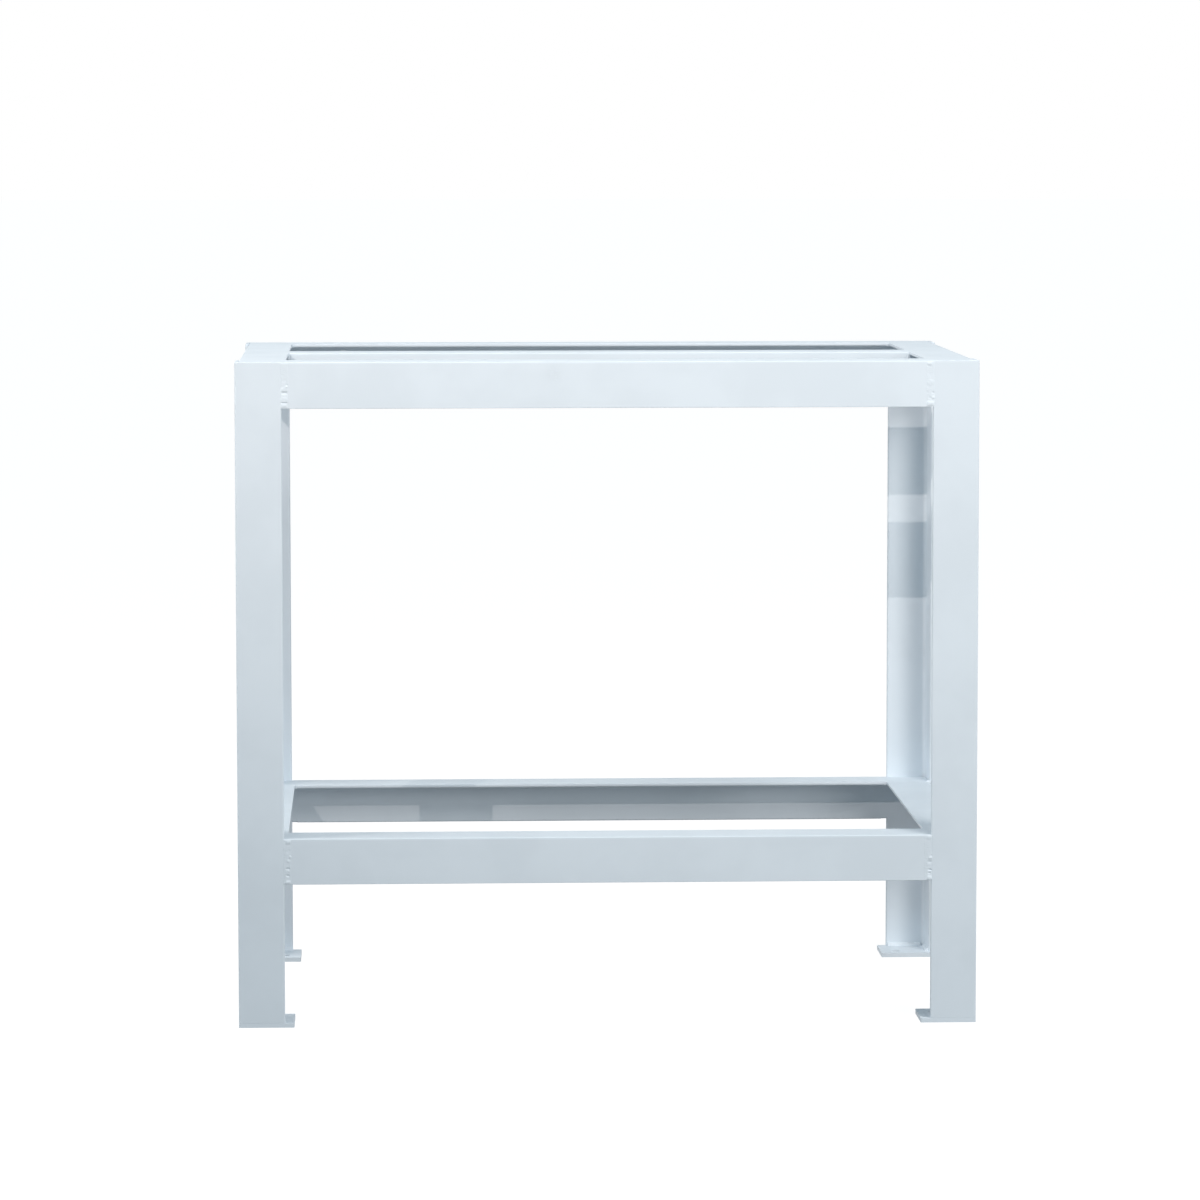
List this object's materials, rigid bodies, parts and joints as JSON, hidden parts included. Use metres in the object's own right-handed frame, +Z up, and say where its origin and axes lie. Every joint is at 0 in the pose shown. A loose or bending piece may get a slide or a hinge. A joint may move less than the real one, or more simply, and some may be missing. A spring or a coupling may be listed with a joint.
{
  "type": "sieve shaker stand",
  "caption": "Open bench stand welded from equal angle steel, with an upper and a lower rectangular frame, a cross rail under the machine and drilled foot plates.",
  "frame": {"origin": "on the floor, at the middle of the stand between its four legs", "axes": "+X to the right as the picture shows the stand, +Y to the rear, +Z up"},
  "size_m": [0.8, 0.5036, 0.72],
  "materials": {
    "powder_coat": "pale blue-grey powder coat, satin, with a fine orange-peel texture",
    "painted_weld": "lumpy weld metal under the same powder coat"
  },
  "bodies": {
    "root": {"leg_front_left": "powder_coat", "leg_front_right": "powder_coat", "leg_rear_left": "powder_coat", "leg_rear_right": "powder_coat", "top_rail_front": "powder_coat", "top_rail_rear": "powder_coat", "top_rail_left": "powder_coat", "top_rail_right": "powder_coat", "top_cross_rail": "powder_coat", "lower_rail_front": "powder_coat", "lower_rail_rear": "powder_coat", "lower_rail_left": "powder_coat", "lower_rail_right": "powder_coat", "foot_plate_front_left": "powder_coat", "foot_plate_front_right": "powder_coat", "foot_plate_rear_left": "powder_coat", "foot_plate_rear_right": "powder_coat", "weld_top_front_left": "painted_weld", "weld_top_front_right": "painted_weld", "weld_top_rear_left": "painted_weld", "weld_top_rear_right": "painted_weld", "weld_lower_front_left": "painted_weld", "weld_lower_front_right": "painted_weld", "weld_lower_rear_left": "painted_weld", "weld_lower_rear_right": "painted_weld", "weld_top_sides": "painted_weld", "weld_lower_sides": "painted_weld", "weld_cross_rail": "painted_weld", "weld_foot_front_left": "painted_weld", "weld_foot_front_right": "painted_weld", "weld_foot_rear_left": "painted_weld", "weld_foot_rear_right": "painted_weld"}
  },
  "joints": []
}
